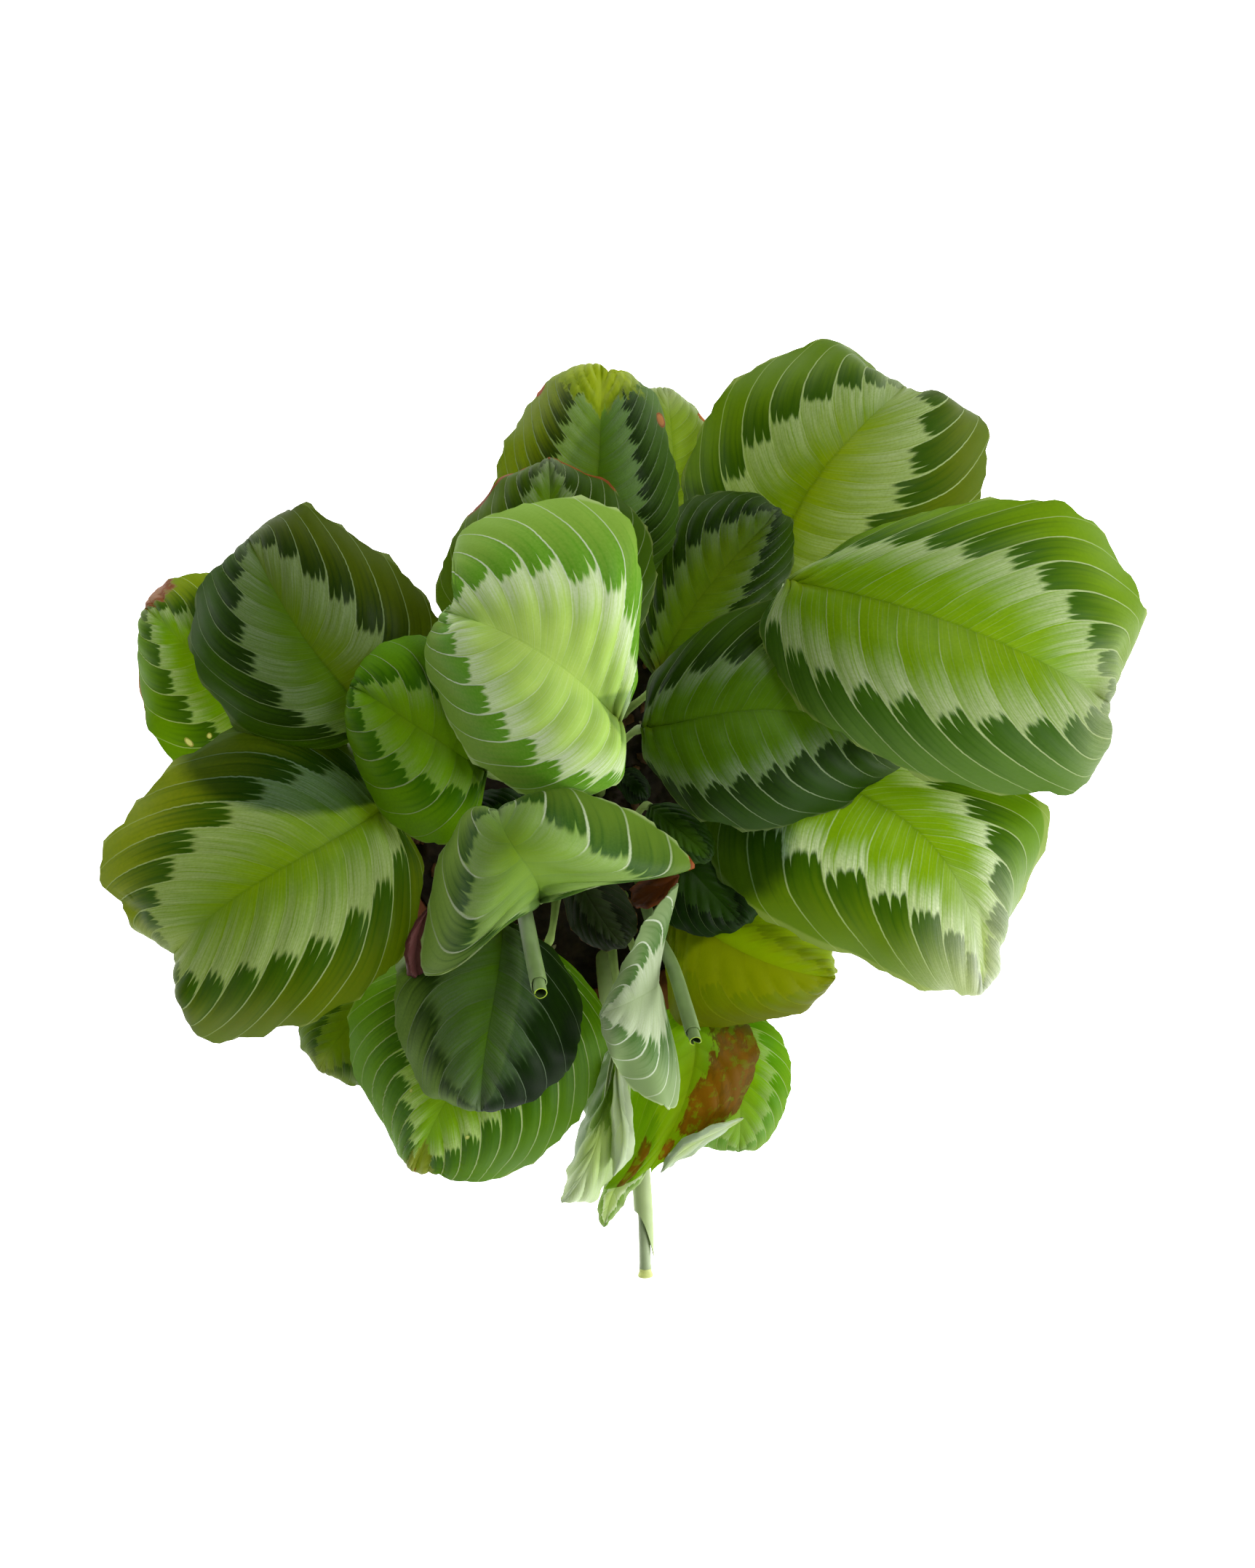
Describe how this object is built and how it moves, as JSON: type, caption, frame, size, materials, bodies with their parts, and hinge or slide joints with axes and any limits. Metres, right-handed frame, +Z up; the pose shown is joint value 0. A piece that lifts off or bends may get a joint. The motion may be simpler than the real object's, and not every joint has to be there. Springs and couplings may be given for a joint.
{
  "type": "potted prayer plant",
  "caption": "Bushy prayer plant with broad patterned leaves on arching stalks, growing from soil in a round tapered pot with a collar.",
  "frame": {"origin": "centre of the pot's underside", "axes": "+Z up along the pot's axis, +X to the right and +Y to the top of the view from above"},
  "size_m": [0.2936, 0.2754, 0.2165],
  "materials": {
    "terracotta": "matte",
    "soil": "rough",
    "leaf": "satin",
    "stem": "satin"
  },
  "bodies": {
    "root": {"pot": "terracotta", "soil": "soil", "leaf_upper_right": "leaf", "leaf_right": "leaf", "leaf_lower_right": "leaf", "leaf_centre_right": "leaf", "leaf_centre_top": "leaf", "leaf_top": "leaf", "leaf_behind_centre": "leaf", "leaf_centre_light": "leaf", "leaf_left_inner": "leaf", "leaf_left_dark": "leaf", "leaf_left_back": "leaf", "leaf_left_large": "leaf", "leaf_left_low": "leaf", "leaf_bottom_light": "leaf", "leaf_bottom_dark": "leaf", "leaf_arched": "leaf", "leaf_folded": "leaf", "leaf_olive": "leaf", "leaf_dark_low_right": "leaf", "leaf_hanging": "leaf", "leaf_low_bright": "leaf", "leaf_drooping": "leaf", "leaf_top_small": "leaf", "leaf_ragged": "leaf", "leaf_small_centre": "leaf", "leaf_small_right": "leaf", "leaf_small_low": "leaf", "rolled_leaf_left": "leaf", "rolled_leaf_right": "leaf", "cut_stem": "stem"}
  },
  "joints": []
}
